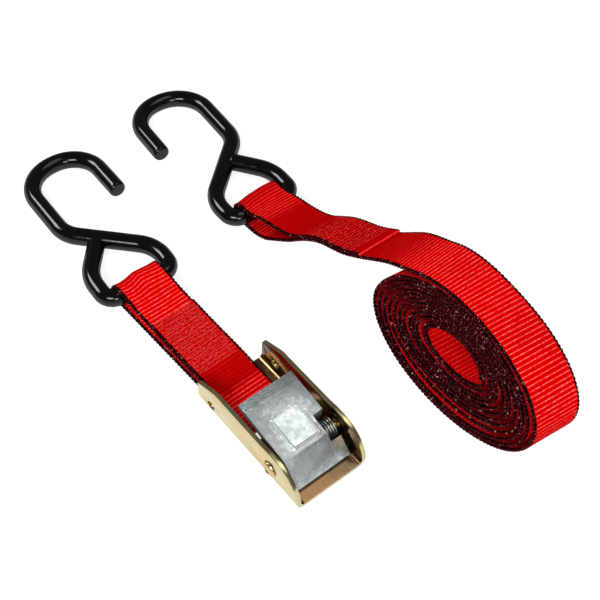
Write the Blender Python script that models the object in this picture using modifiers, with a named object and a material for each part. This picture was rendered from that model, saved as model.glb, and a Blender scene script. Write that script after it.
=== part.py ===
"""Cam buckle tie-down set: a short strap with a cam buckle, and a long strap wound in a roll.

Metres, +Z up. +X runs along the straps from the hooks to the buckle and the roll, +Y across them.
Everything lies on the ground plane z = 0, and the origin is below the middle of the whole set.
"""
import math

import bmesh
import bpy
from mathutils import Vector

MM = 0.001

# ---- whole set -----------------------------------------------------------------------------
SET_SHIFT = (7.41 * MM, 16.04 * MM, 0.0)  # puts the origin below the middle of the set

# ---- webbing -------------------------------------------------------------------------------
WEB_WIDTH = 25.4 * MM
WEB_THICK = 1.6 * MM
GAP = 0.3 * MM                     # running gap between neighbouring pieces
THREAD_R = 0.3 * MM

# ---- S-hooks: bent rod in a dipped vinyl coat -----------------------------------------------
COAT_R = 4.15 * MM
ROD_R = 3.0 * MM
CAVITY_R = ROD_R + GAP
TIP_WALL = 1.6 * MM                # vinyl over the end of the rod
# Corners of the rod's centre line and the bend radius at each, in mm, with the eye's bar on u = 0.
HOOK_TIP = (-63.6, 23.5)
HOOK_CORNERS = [
    (-98.8, 23.5, 17.2),
    (-98.8, -14.1, 18.8),
    (-50.9, -14.1, 16.4),
    (-17.6, 18.7, 9.0),
    (0.0, 17.4, 5.0),
    (0.0, -18.5, 5.0),
    (-19.1, -18.2, 9.0),
]
HOOK_END = (-34.9, -5.4)
HOOK_REACH = 98.8 * MM             # from the bar to the middle of the round bend
BAR_Z = 6.25 * MM                  # the bar lies on one layer of webbing
HOOK_TILT = math.asin((BAR_Z - COAT_R - 0.02 * MM) / HOOK_REACH)
HOOK_A = (-51.5 * MM, -56.3 * MM)
HOOK_A_HEADING = math.radians(-3.1)
HOOK_B = (-55.5 * MM, 20.5 * MM)
HOOK_B_HEADING = math.radians(-5.6)

# ---- buckle, measured from the lower front edge of its frame --------------------------------
BUCKLE = (89.0 * MM, -54.5 * MM, 0.05 * MM)
BUCKLE_TILT = math.radians(3.0)    # the webbing under the rear lifts it
FRAME_LENGTH = 71.0 * MM
FRAME_HALF = 19.0 * MM
FRAME_HIGH = 24.0 * MM             # blank before the side plates are cut to shape
PLATE = 2.0 * MM
BEND_R = 4.5 * MM
REAR_HOLE = (-61.4 * MM, 6.3 * MM)
REAR_HOLE_R = 2.5 * MM
SLOT_X = (-44.0 * MM, -36.5 * MM)  # slot in the floor for the webbing
SLOT_HALF = 14.0 * MM
PIVOT = (-19.5 * MM, 8.8 * MM)
PIN_R = 2.5 * MM
HEAD_R = 4.0 * MM
HEAD_HIGH = 1.5 * MM

# ---- cam lever, measured from its pivot -----------------------------------------------------
LEVER_HALF = 14.5 * MM
LEVER_SLOPE = math.radians(9.0)
THUMB_END = (-27.6, 11.8)
KNEE = (4.7, 6.45)
NOSE = (14.2, -3.8)
RIDGES = 6
RIDGE_PITCH = 0.85
RIDGE_DEEP = 0.35
HUB_R = 6.0
CAM_TEETH = 6
TOOTH_DEEP = 0.7
PAD_SIZE = (17.5 * MM, 15.5 * MM)
PAD_PLACE = (-5.75 * MM, -0.25 * MM, 8.1 * MM)
PAD_HIGH = 0.5 * MM
POCKET_R = 6.2 * MM
POCKET_X = (-5.6 * MM, 7.4 * MM)
POCKET_FACE = 9.0 * MM             # lever's face behind the spring, across from the middle

# ---- torsion spring on the pivot ------------------------------------------------------------
SPRING_R = 4.6 * MM
SPRING_WIRE_R = 0.55 * MM
SPRING_TURNS = 4.5
SPRING_PITCH = 1.3 * MM

# ---- short strap: a closed loop, side view in mm --------------------------------------------
SHORT_Y = -56.0 * MM
SHORT_HEADING = math.radians(1.0)
SHORT_EYE = (-51.5, 6.3)           # middle of the fold round the hook's bar
SHORT_EYE_HALF = (5.7, 4.5)        # inside of that fold, along and up
SHORT_TURN = (46.2, 3.3)           # middle of the fold through the buckle's slot
SHORT_INNER_TOP = [(18, 6.2), (10, 5.95), (0, 5.9), (-12, 6.2), (-25, 6.9), (-38, 8.5)]
SHORT_SEWN = (-25.0, 11.0)         # the sewn overlap, twice as thick

# ---- long strap: hook loop and lead, side view in mm ----------------------------------------
LEAD_Y = 21.2 * MM                 # middle of the lead at the hook
LEAD_SLANT = 0.075                 # sideways drift per length
LEAD_SLANT_FROM = -50.0 * MM       # where the drift begins
LEAD_EYE = (-58.3, 6.4)
LEAD_EYE_HALF = (5.7, 4.6)
LEAD_LOWER = [(-46, 1.0), (-40, 2.6), (-33.4, 7.5), (-22.4, 15.7), (-11.8, 25.1), (-1.2, 32.0),
              (13.6, 36.8), (25, 43.0), (44.3, 54.6), (55.5, 62.0)]
LEAD_UPPER = [(-50, 12.6), (-43.4, 14.9), (-33.8, 16.8), (-24.2, 19.2), (-17.5, 23.0)]
LEAD_SEWN_FROM, LEAD_SEWN_TO = 4, 7  # points of the lower layer between which the two are sewn

# ---- long strap: the wound part, an oval disc leaning a little ------------------------------
ROLL_PLACE = (1.5 * MM, 14.4 * MM, 2.27 * MM)
ROLL_HEADING = math.radians(-4.2)
ROLL_LEAN = math.radians(5.0)
ROLL_OUTER = (88.0 * MM, 34.1 * MM, 52.6 * MM, 34.0 * MM)   # middle along and up, half sizes
ROLL_HOLE = (90.4 * MM, 41.0 * MM, 17.0 * MM, 7.6 * MM)
ROLL_TILT = math.radians(3.0)


# ---- helpers --------------------------------------------------------------------------------
def clear_scene():
    for obj in list(bpy.data.objects):
        bpy.data.objects.remove(obj, do_unlink=True)


def new_collection(name):
    col = bpy.data.collections.new(name)
    bpy.context.scene.collection.children.link(col)
    return col


def material(name, colour, roughness, metallic=0.0):
    mat = bpy.data.materials.new(name)
    mat.use_nodes = True
    shader = mat.node_tree.nodes["Principled BSDF"]
    shader.inputs["Base Color"].default_value = (*colour, 1.0)
    shader.inputs["Roughness"].default_value = roughness
    shader.inputs["Metallic"].default_value = metallic
    return mat


def add_object(name, data, mat=None, parent=None):
    obj = bpy.data.objects.new(name, data)
    PARTS.objects.link(obj)
    if mat is not None:
        data.materials.append(mat)
    obj.parent = parent
    return obj


def add_empty(name, location, rotation=(0.0, 0.0, 0.0), parent=None):
    empty = add_object(name, None, parent=parent)
    empty.location = location
    empty.rotation_euler = rotation
    return empty


def fillet(points, steps_per_turn=28):
    """Polyline through (x, y, radius) corners; a corner with radius 0 stays sharp."""
    out = []
    for i, (x, y, radius) in enumerate(points):
        corner = Vector((x, y))
        if radius == 0.0:
            out.append(corner)
            continue
        before = Vector(points[i - 1][:2]) - corner
        after = Vector(points[(i + 1) % len(points)][:2]) - corner
        before.normalize()
        after.normalize()
        half = before.angle(after) / 2
        middle = corner + (before + after).normalized() * (radius / math.sin(half))
        start = corner + before * (radius / math.tan(half)) - middle
        sweep = start.angle_signed(corner + after * (radius / math.tan(half)) - middle)
        steps = max(2, round(abs(sweep) / (2 * math.pi) * steps_per_turn))
        first = math.atan2(start.y, start.x)
        for k in range(steps + 1):
            a = first - sweep * k / steps
            out.append(middle + radius * Vector((math.cos(a), math.sin(a))))
    return out


def smooth_path(points, steps=4):
    """Catmull-Rom curve through the points."""
    pts = [Vector(p) for p in points]
    pts = [2 * pts[0] - pts[1]] + pts + [2 * pts[-1] - pts[-2]]
    out = []
    for a, b, c, d in zip(pts, pts[1:], pts[2:], pts[3:]):
        for k in range(steps):
            t = k / steps
            out.append(0.5 * (2 * b + (c - a) * t + (2 * a - 5 * b + 4 * c - d) * t * t
                              + (3 * b - a - 3 * c + d) * t ** 3))
    out.append(pts[-2])
    return out


def offset_path(points, distance):
    """The same path moved sideways, to its left for a positive distance."""
    out = []
    for i, p in enumerate(points):
        along = points[min(i + 1, len(points) - 1)] - points[max(i - 1, 0)]
        along.normalize()
        out.append(p + distance * Vector((-along.y, along.x)))
    return out


def arc(centre, radius, start_deg, end_deg, steps):
    angles = [math.radians(start_deg + (end_deg - start_deg) * k / steps) for k in range(steps + 1)]
    return [Vector(centre) + radius * Vector((math.cos(a), math.sin(a))) for a in angles]


def ellipse(centre_x, centre_y, half_a, half_b, tilt, steps):
    out = []
    for k in range(steps):
        a = 2 * math.pi * k / steps
        x, y = half_a * math.cos(a), half_b * math.sin(a)
        out.append(Vector((centre_x + x * math.cos(tilt) - y * math.sin(tilt),
                           centre_y + x * math.sin(tilt) + y * math.cos(tilt))))
    return out


def curve_data(name, splines, cyclic, flat):
    data = bpy.data.curves.new(name, "CURVE")
    data.dimensions = "2D" if flat else "3D"
    data.resolution_u = 1
    data.render_resolution_u = 0
    for points in splines:
        spline = data.splines.new("POLY")
        spline.points.add(len(points) - 1)
        for target, p in zip(spline.points, points):
            target.co = (p[0], p[1], p[2] if len(p) > 2 else 0.0, 1.0)
        spline.use_cyclic_u = cyclic
    return data


def plate(name, outlines, thickness, mat=None, parent=None, axis="Y"):
    """A flat outline in XZ (thickness along Y) or in YZ (thickness along X)."""
    data = curve_data(name, outlines, True, True)
    data.fill_mode = "BOTH"
    data.extrude = thickness / 2
    obj = add_object(name, data, mat, parent)
    quarter = math.pi / 2
    obj.rotation_euler = (quarter, 0.0, quarter) if axis == "X" else (quarter, 0.0, 0.0)
    return obj


def tube(name, points, radius, mat=None, parent=None, resolution=2):
    data = curve_data(name, [points], False, False)
    data.bevel_depth = radius
    data.bevel_resolution = resolution
    data.use_fill_caps = True
    return add_object(name, data, mat, parent)


def as_mesh(obj):
    """The curve object made a welded mesh object of the same name and place."""
    bpy.context.view_layer.update()
    name, parent, mats = obj.name, obj.parent, list(obj.data.materials)
    evaluated = obj.evaluated_get(bpy.context.evaluated_depsgraph_get())
    mesh = bpy.data.meshes.new_from_object(evaluated)
    bm = bmesh.new()
    bm.from_mesh(mesh)
    bmesh.ops.remove_doubles(bm, verts=bm.verts, dist=1e-6)
    bmesh.ops.recalc_face_normals(bm, faces=bm.faces)
    if bm.calc_volume(signed=True) < 0:
        bmesh.ops.reverse_faces(bm, faces=bm.faces)
    bm.to_mesh(mesh)
    bm.free()
    matrix = obj.matrix_world.copy()
    bpy.data.objects.remove(obj, do_unlink=True)
    mesh.materials.clear()
    new = add_object(name, mesh, mats[0] if mats else None, parent)
    new.matrix_world = matrix
    return new


def cylinder(name, radius, depth, mat=None, parent=None, segments=24):
    """A cylinder along Y."""
    mesh = bpy.data.meshes.new(name)
    bm = bmesh.new()
    bmesh.ops.create_cone(bm, cap_ends=True, segments=segments, radius1=radius, radius2=radius, depth=depth)
    bm.to_mesh(mesh)
    bm.free()
    obj = add_object(name, mesh, mat, parent)
    obj.rotation_euler = (math.pi / 2, 0.0, 0.0)
    return obj


def box(name, size, mat=None, parent=None):
    mesh = bpy.data.meshes.new(name)
    bm = bmesh.new()
    bmesh.ops.create_cube(bm, size=1.0)
    bmesh.ops.scale(bm, vec=size, verts=bm.verts)
    bm.to_mesh(mesh)
    bm.free()
    return add_object(name, mesh, mat, parent)


def combine(obj, tool, operation):
    """Cut, join or intersect with a tool object, which moves to the cutters."""
    PARTS.objects.unlink(tool)
    CUTTERS.objects.link(tool)
    tool.hide_render = True
    tool.display_type = "WIRE"
    mod = obj.modifiers.new(tool.name, "BOOLEAN")
    mod.operation = operation
    mod.object = tool
    mod.solver = "EXACT"


def shade(obj, angle=35.0):
    obj.data.shade_smooth()
    obj.data.set_sharp_from_angle(angle=math.radians(angle))


# ---- hooks ----------------------------------------------------------------------------------
def hook_path(side):
    """Centre line of the rod; side -1 turns the hook over."""
    corners = [(x * MM, y * MM * side, r * MM) for x, y, r in HOOK_CORNERS]
    tip = (HOOK_TIP[0] * MM, HOOK_TIP[1] * MM * side, 0.0)
    end = (HOOK_END[0] * MM, HOOK_END[1] * MM * side, 0.0)
    return fillet([tip] + corners + [end])


def lengthened(points, at_start, at_end):
    """The path with its two ends moved outwards, or inwards for a negative length."""
    out = list(points)
    out[0] = out[0] + (out[0] - out[1]).normalized() * at_start
    out[-1] = out[-1] + (out[-1] - out[-2]).normalized() * at_end
    return out


def make_hook(label, place, heading, side):
    axis = add_empty(f"{label}_axis", (*place, BAR_Z), (0.0, -HOOK_TILT, heading), SET)
    path = hook_path(side)
    coat = as_mesh(tube(f"{label}_coating", path, COAT_R, VINYL, axis, resolution=4))
    cavity = as_mesh(tube(f"{label}_cavity", lengthened(path, -TIP_WALL, 1 * MM), CAVITY_R, parent=axis))
    combine(coat, cavity, "DIFFERENCE")
    shade(coat)
    tube(f"{label}_rod", lengthened(path, -TIP_WALL - GAP, -GAP), ROD_R, STEEL, axis)


# ---- buckle ---------------------------------------------------------------------------------
def make_frame(buckle):
    half, top, inner = FRAME_HALF, FRAME_HIGH, FRAME_HALF - PLATE
    section = fillet([
        (-half, top, 0), (-half, 0, BEND_R), (half, 0, BEND_R), (half, top, 0),
        (inner, top, 0), (inner, PLATE, BEND_R - PLATE), (-inner, PLATE, BEND_R - PLATE), (-inner, top, 0)])
    frame = as_mesh(plate("buckle_frame", [section], FRAME_LENGTH + 2 * MM, ZINC, buckle, axis="X"))
    frame.location = (-FRAME_LENGTH / 2, 0.0, 0.0)
    rear = -FRAME_LENGTH
    side = fillet([
        (rear, -1 * MM, 0), (rear, 13.5 * MM, 1 * MM), (-58.5 * MM, 18.8 * MM, 4 * MM),
        (-24.5 * MM, 19.4 * MM, 3 * MM), (-20.5 * MM, 20.1 * MM, 3 * MM),
        (0.0, 19.4 * MM, 16.8 * MM), (0.0, -1 * MM, 0)], 40)
    combine(frame, as_mesh(plate("side_profile", [side], 3 * FRAME_HALF, parent=buckle)), "INTERSECT")
    slot = box("webbing_slot", (SLOT_X[1] - SLOT_X[0], 2 * SLOT_HALF, 8 * MM), parent=buckle)
    slot.location = ((SLOT_X[0] + SLOT_X[1]) / 2, 0.0, 0.0)
    combine(frame, slot, "DIFFERENCE")
    for label, place, radius in (("rear", REAR_HOLE, REAR_HOLE_R), ("rivet", PIVOT, PIN_R + GAP)):
        hole = cylinder(f"{label}_hole", radius, 3 * FRAME_HALF, parent=buckle)
        hole.location = (place[0], 0.0, place[1])
        combine(frame, hole, "DIFFERENCE")
    shade(frame)


def make_rivet(buckle):
    """Turned pin with a domed head outside each plate."""
    under = FRAME_HALF + GAP
    dome = [(0.0, 1.0), (0.38, 0.93), (0.72, 0.7), (0.94, 0.35), (1.0, 0.0)]
    head = [(HEAD_R * r, under + HEAD_HIGH * h) for r, h in dome]
    profile = head + [(PIN_R, under), (PIN_R, -under)] + [(r, -z) for r, z in reversed(head)]
    mesh = bpy.data.meshes.new("pivot_rivet")
    mesh.from_pydata([(r, 0.0, z) for r, z in profile], [(i, i + 1) for i in range(len(profile) - 1)], [])
    rivet = add_object("pivot_rivet", mesh, ZINC, buckle)
    rivet.location = (PIVOT[0], 0.0, PIVOT[1])
    rivet.rotation_euler = (-math.pi / 2, 0.0, 0.0)
    screw = rivet.modifiers.new("turn", "SCREW")
    screw.steps = screw.render_steps = 20
    screw.use_merge_vertices = True
    screw.merge_threshold = 0.00005
    screw.use_smooth_shade = False


def lever_outline():
    """Side view of the lever: thumb end at the rear, sloping top, and a toothed cam ahead and below."""
    points = [(THUMB_END[0] - 0.3, THUMB_END[1] - 2.6)]
    x, z = THUMB_END
    fall = 0.05 * RIDGE_PITCH
    for _ in range(RIDGES):
        points += [(x, z), (x + 0.55 * RIDGE_PITCH, z - fall / 2),
                   (x + 0.75 * RIDGE_PITCH, z - fall - RIDGE_DEEP)]
        x, z = x + RIDGE_PITCH, z - fall
    points.append((x, z - RIDGE_DEEP))
    points += [(KNEE[0] - 1.0, KNEE[1] + 0.17), (KNEE[0] + 0.1, KNEE[1] - 0.15), (KNEE[0] + 0.8, KNEE[1] - 0.9)]
    points += [NOSE, (NOSE[0] - 0.1, NOSE[1] - 0.9), (NOSE[0] - 1.1, NOSE[1] - 1.7)]
    start, end = Vector((NOSE[0] - 1.6, -5.95)), Vector((0.6, -6.35))
    for k in range(CAM_TEETH):
        tip = start.lerp(end, k / CAM_TEETH)
        root = start.lerp(end, (k + 0.4) / CAM_TEETH)
        points += [tuple(tip), (root.x, root.y + TOOTH_DEEP)]
    points += [tuple(p) for p in arc((0, 0), HUB_R, -90, -165, 8)]
    points += [(-8.0, 3.0), (-12.0, 5.6)]
    return [Vector(p) * MM for p in points]


def make_lever(buckle):
    axis = add_empty("lever_axis", (PIVOT[0], 0.0, PIVOT[1]), parent=buckle)
    lever = as_mesh(plate("cam_lever", [lever_outline()], 2 * LEVER_HALF, DIECAST, axis))
    pad = box("pad_block", (PAD_SIZE[0], PAD_SIZE[1], 2 * PAD_HIGH), parent=axis)
    pad.location = PAD_PLACE
    pad.rotation_euler = (0.0, LEVER_SLOPE, 0.0)
    bevel = pad.modifiers.new("edges", "BEVEL")
    bevel.width = 0.35 * MM
    bevel.segments = 1
    combine(lever, pad, "UNION")
    bore = cylinder("lever_bore", PIN_R + GAP, 3 * LEVER_HALF, parent=axis)
    combine(lever, bore, "DIFFERENCE")
    depth = LEVER_HALF - POCKET_FACE + 2 * MM
    pocket = cylinder("spring_pocket", POCKET_R, depth, parent=axis)
    pocket.location = (0.0, POCKET_FACE + depth / 2, 0.0)
    combine(lever, pocket, "DIFFERENCE")
    mouth = box("pocket_mouth", (POCKET_X[1] - POCKET_X[0], depth, 14 * MM), parent=axis)
    mouth.location = ((POCKET_X[0] + POCKET_X[1]) / 2, POCKET_FACE + depth / 2, 7 * MM)
    combine(lever, mouth, "DIFFERENCE")
    shade(lever, 25.0)


def make_spring(buckle):
    """Torsion coil round the pivot, one leg up against the lever and the other on the frame's floor."""
    start_y = POCKET_FACE + GAP + SPRING_WIRE_R
    steps = round(SPRING_TURNS * 14)
    path = [Vector((4.6 * MM, start_y, 4.4 * MM)), Vector((2.6 * MM, start_y, 4.75 * MM))]
    for k in range(steps + 1):
        turn = SPRING_TURNS * k / steps
        a = math.pi / 2 + 2 * math.pi * turn
        path.append(Vector((SPRING_R * math.cos(a), start_y + SPRING_PITCH * turn, SPRING_R * math.sin(a))))
    end_y = start_y + SPRING_PITCH * SPRING_TURNS
    path.append(Vector((3.5 * MM, end_y, -5.2 * MM)))
    path.append(Vector((10.0 * MM, end_y, -5.9 * MM)))
    spring = tube("torsion_spring", path, SPRING_WIRE_R, SPRING, buckle)
    spring.location = (PIVOT[0], 0.0, PIVOT[1])


# ---- straps ---------------------------------------------------------------------------------
def fold(centre, half, thickness, start_deg, end_deg):
    """Half turn of webbing round a bar, in mm, grown outwards from its inside by a thickness."""
    a, b = half[0] + thickness, half[1] + thickness
    points = arc((0, 0), 1.0, start_deg, end_deg, 12)
    return [Vector((centre[0] + a * p.x, centre[1] + b * p.y)) for p in points]


def short_top_line(thickness):
    """Top layer from the buckle back to the hook, its sewn overlap on the outside."""
    out = []
    for x, z in SHORT_INNER_TOP:
        inside = SHORT_SEWN[0] <= x <= SHORT_SEWN[1]
        out.append(Vector((x, z + (2 * thickness if inside else thickness))))
    return out


def make_short_webbing():
    """A loop between the hook's eye and the buckle's floor, its ends sewn one over the other."""
    t = WEB_THICK / MM
    turn_half = (0.2, 1.35)
    outer = (fold(SHORT_EYE, SHORT_EYE_HALF, t, 90, 270) + fold(SHORT_TURN, turn_half, t, -90, 90)
             + short_top_line(t))
    inner = (fold(SHORT_EYE, SHORT_EYE_HALF, 0.0, 90, 270)
             + [Vector((-20.0, 1.8)), Vector((20.0, 1.85))]
             + fold(SHORT_TURN, turn_half, 0.0, -90, 90) + short_top_line(0.0))
    outlines = [[p * MM for p in line] for line in (outer, inner)]
    strap = plate("short_webbing", outlines, WEB_WIDTH, WEBBING, SET)
    strap.location = (0.0, SHORT_Y, 0.0)
    strap.rotation_euler = (math.pi / 2, 0.0, SHORT_HEADING)


def height_on(line, x):
    """Height at x of a line of points that runs towards +X."""
    for a, b in zip(line, line[1:]):
        if a.x <= x <= b.x:
            return a.y + (b.y - a.y) * (x - a.x) / (b.x - a.x)
    return line[-1].y


def zigzag(start, end, line, rows, half_width, drift=lambda x: 0.0):
    """Thread that crosses the strap again and again between two places along it."""
    path = []
    for k in range(rows + 1):
        side = half_width if k % 2 else -half_width
        for part in (0.0, 0.3):
            x = start + (end - start) * min(1.0, (k + part) / rows)
            path.append(Vector((x, side + drift(x), height_on(line, x))))
    return path[:-1]


def make_short_stitching():
    above = 2 * WEB_THICK / MM + 0.65
    sewn = [Vector((x, z + above)) * MM for x, z in reversed(SHORT_INNER_TOP)
            if SHORT_SEWN[0] <= x <= SHORT_SEWN[1]]
    thread = tube("short_stitching", zigzag(-23.5 * MM, 9.5 * MM, sewn, 18, 10.4 * MM), THREAD_R, THREAD,
                  SET, resolution=0)
    thread.location = (0.0, SHORT_Y, 0.0)
    thread.rotation_euler = (0.0, 0.0, SHORT_HEADING)


def lead_layers():
    """Centre lines of the lower layer, which runs on to the roll, and of the folded-back one."""
    steps = 3
    step = WEB_THICK / MM + 0.02
    lower = smooth_path(LEAD_LOWER, steps)
    doubled = offset_path(lower, step)[LEAD_SEWN_FROM * steps:LEAD_SEWN_TO * steps + 1]
    upper = smooth_path([*LEAD_UPPER, tuple(doubled[0])], 2)[:-1]
    return lower, upper, doubled


def lead_drift(x):
    return LEAD_SLANT * max(0.0, x - LEAD_SLANT_FROM)


def slanted(obj):
    """Move a strap's cross sections sideways, more and more along its length."""
    for vert in obj.data.vertices:
        vert.co.z -= lead_drift(vert.co.x)
    return obj


def make_lead():
    """Long strap from the loop round the hook's bar up to the roll, its end sewn back on it."""
    half = WEB_THICK / MM / 2
    lower, upper, doubled = lead_layers()
    top_side = offset_path(upper + doubled, half)
    inner_side = offset_path(upper, -half)
    joined = LEAD_SEWN_FROM * 3
    ends = LEAD_SEWN_TO * 3
    over, under = offset_path(lower, half), offset_path(lower, -half)
    outer = (list(reversed(under)) + fold(LEAD_EYE, LEAD_EYE_HALF, 2 * half, 270, 90)
             + top_side + over[ends:])
    inner = (fold(LEAD_EYE, LEAD_EYE_HALF, 0.0, 90, 270) + over[:joined] + list(reversed(inner_side)))
    outlines = [[p * MM for p in line] for line in (outer, inner)]
    lead = plate("long_webbing_lead", outlines, WEB_WIDTH, WEBBING, SET)
    lead.location = (0.0, LEAD_Y, 0.0)
    shade(slanted(as_mesh(lead)))


def make_long_stitching():
    _, _, doubled = lead_layers()
    line = [p * MM for p in offset_path(doubled, WEB_THICK / MM / 2 + 0.65)]
    path = zigzag(-8 * MM, 22 * MM, line, 16, 10.4 * MM, lead_drift)
    thread = tube("long_stitching", path, THREAD_R, THREAD, SET, resolution=0)
    thread.location = (0.0, LEAD_Y, 0.0)


def make_roll():
    """The wound part of the long strap: an oval standing on edge, open in the middle."""
    place = add_empty("roll_place", ROLL_PLACE, (-ROLL_LEAN, 0.0, ROLL_HEADING), SET)
    outer = ellipse(*ROLL_OUTER, ROLL_TILT, 48)
    hole = ellipse(*ROLL_HOLE, ROLL_TILT, 24)
    roll = plate("webbing_roll", [outer, hole], WEB_WIDTH, WEBBING, place)
    roll.location = (0.0, WEB_WIDTH / 2, 0.0)


# ---- assembly -------------------------------------------------------------------------------
clear_scene()
PARTS = new_collection("cam_buckle_tie_down")
CUTTERS = new_collection("cutters")
VINYL = material("black_vinyl", (0.012, 0.012, 0.012), 0.3)
STEEL = material("bare_steel", (0.45, 0.45, 0.46), 0.35, 1.0)
ZINC = material("yellow_zinc", (0.72, 0.66, 0.42), 0.3, 1.0)
DIECAST = material("grey_diecast", (0.55, 0.57, 0.57), 0.4, 0.9)
SPRING = material("dark_spring_wire", (0.05, 0.06, 0.05), 0.35, 1.0)
WEBBING = material("red_webbing", (0.75, 0.01, 0.01), 0.7)
THREAD = material("red_thread", (0.8, 0.05, 0.04), 0.6)
SET = add_empty("whole_set", SET_SHIFT)


def build():
    make_hook("hook_a", HOOK_A, HOOK_A_HEADING, 1)
    make_hook("hook_b", HOOK_B, HOOK_B_HEADING, -1)
    buckle = add_empty("buckle_place", BUCKLE, (0.0, BUCKLE_TILT, 0.0), SET)
    make_frame(buckle)
    make_rivet(buckle)
    make_lever(buckle)
    make_spring(buckle)
    make_short_webbing()
    make_short_stitching()
    make_lead()
    make_long_stitching()
    make_roll()


build()
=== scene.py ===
import math

import bmesh
import bpy
import numpy as np
from mathutils import Matrix, Vector


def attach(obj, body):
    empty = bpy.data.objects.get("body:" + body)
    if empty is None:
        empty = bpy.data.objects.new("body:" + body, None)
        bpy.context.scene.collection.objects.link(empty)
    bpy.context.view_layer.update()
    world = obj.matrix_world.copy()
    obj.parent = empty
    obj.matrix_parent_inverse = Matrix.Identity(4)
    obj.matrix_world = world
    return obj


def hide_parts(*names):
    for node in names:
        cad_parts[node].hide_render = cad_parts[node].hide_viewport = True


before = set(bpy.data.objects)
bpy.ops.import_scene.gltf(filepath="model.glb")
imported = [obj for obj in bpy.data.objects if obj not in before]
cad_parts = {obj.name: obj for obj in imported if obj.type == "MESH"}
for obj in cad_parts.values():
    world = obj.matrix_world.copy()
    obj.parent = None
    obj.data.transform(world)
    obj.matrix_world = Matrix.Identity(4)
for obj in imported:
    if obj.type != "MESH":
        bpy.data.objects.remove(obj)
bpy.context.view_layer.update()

MM = 0.001
SHARP_ANGLE = 32.0                 # degrees: an edge sharper than this stays hard in the shading

# ---- where things are (mm), as in the CAD ------------------------------------------------------
SHIFT = np.array([7.41, 16.04, 0.0])
WIDTH = 25.4
HALF_THICK = 0.72
RIB = 2.1                          # spacing of the ribs along the webbing
FINE, COARSE = 7, 3                # mesh rows to a rib, in plain sight and inside the roll
BUCKLE = (89.0, -54.5, 0.05)
BUCKLE_TILT = 3.0
FRAME_LENGTH, FRAME_HALF, PLATE, BEND_R = 71.0, 19.0, 2.0, 4.5
PIVOT = (-19.5, 8.8)
PIN_R = 2.5
LEVER_HALF = 14.5
PIN_GAP = 0.3
POCKET_Y = 9.0                     # where the lever's pocket for the spring begins
TOP_SLOPE = 9.0                    # degrees: fall of the lever's top towards its cam


# ---- camera -----------------------------------------------------------------------------------
def make_camera():
    cam = bpy.data.cameras.new("camera")
    cam.lens, cam.sensor_width = 75.0, 36.0
    obj = bpy.data.objects.new("camera", cam)
    bpy.context.scene.collection.objects.link(obj)
    place = Vector((295.5 + SHIFT[0], -239.3 + SHIFT[1], 469.6)) * MM
    aim = Vector((SHIFT[0], SHIFT[1], 0.0)) * MM
    obj.location = place
    obj.rotation_euler = (aim - place).to_track_quat("-Z", "Y").to_euler()
    bpy.context.scene.camera = obj


# ---- materials --------------------------------------------------------------------------------
class Shader:
    """A Principled material with a few short ways to add nodes."""

    def __init__(self, name, colour=(0.8, 0.8, 0.8), roughness=0.5, metallic=0.0, **sockets):
        self.mat = bpy.data.materials.new(name)
        self.mat.use_nodes = True
        self.tree = self.mat.node_tree
        self.bsdf = self.tree.nodes["Principled BSDF"]
        self.bsdf.inputs["Base Color"].default_value = (*colour, 1.0)
        self.bsdf.inputs["Roughness"].default_value = roughness
        self.bsdf.inputs["Metallic"].default_value = metallic
        for key, value in sockets.items():
            self.bsdf.inputs[key.replace("_", " ")].default_value = value

    def put(self, socket, value):
        if isinstance(value, bpy.types.NodeSocket):
            self.tree.links.new(value, socket)
        elif value is not None:
            socket.default_value = value

    def math(self, operation, a, b=None, c=None):
        node = self.tree.nodes.new("ShaderNodeMath")
        node.operation = operation
        for socket, value in zip(node.inputs, (a, b, c)):
            self.put(socket, value)
        return node.outputs[0]

    def mix(self, factor, a, b):
        node = self.tree.nodes.new("ShaderNodeMix")
        node.data_type = "RGBA"
        self.put(node.inputs["Factor"], factor)
        for socket, value in ((node.inputs[6], a), (node.inputs[7], b)):
            self.put(socket, (*value, 1.0) if isinstance(value, tuple) else value)
        return node.outputs[2]

    def ramp(self, value, low, high, to_low=0.0, to_high=1.0):
        node = self.tree.nodes.new("ShaderNodeMapRange")
        node.interpolation_type = "SMOOTHSTEP"
        for key, item in (("Value", value), ("From Min", low), ("From Max", high),
                          ("To Min", to_low), ("To Max", to_high)):
            self.put(node.inputs[key], item)
        return node.outputs[0]

    def noise(self, scale, detail=3.0, roughness=0.5, stretch=None):
        coords = self.tree.nodes.new("ShaderNodeTexCoord").outputs["Object"]
        if stretch:
            mapping = self.tree.nodes.new("ShaderNodeMapping")
            mapping.inputs["Scale"].default_value = stretch
            self.tree.links.new(coords, mapping.inputs["Vector"])
            coords = mapping.outputs[0]
        node = self.tree.nodes.new("ShaderNodeTexNoise")
        node.inputs["Scale"].default_value = scale
        node.inputs["Detail"].default_value = detail
        node.inputs["Roughness"].default_value = roughness
        self.tree.links.new(coords, node.inputs["Vector"])
        return node.outputs["Fac"]

    def uv(self, name):
        node = self.tree.nodes.new("ShaderNodeUVMap")
        node.uv_map = name
        split = self.tree.nodes.new("ShaderNodeSeparateXYZ")
        self.tree.links.new(node.outputs[0], split.inputs[0])
        return split.outputs[0], split.outputs[1]

    def bump(self, height, strength, distance):
        node = self.tree.nodes.new("ShaderNodeBump")
        node.inputs["Strength"].default_value = strength
        node.inputs["Distance"].default_value = distance
        self.tree.links.new(height, node.inputs["Height"])
        self.tree.links.new(node.outputs[0], self.bsdf.inputs["Normal"])

    def colour(self, value):
        self.put(self.bsdf.inputs["Base Color"], value)

    def rough(self, value):
        self.put(self.bsdf.inputs["Roughness"], value)


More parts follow.
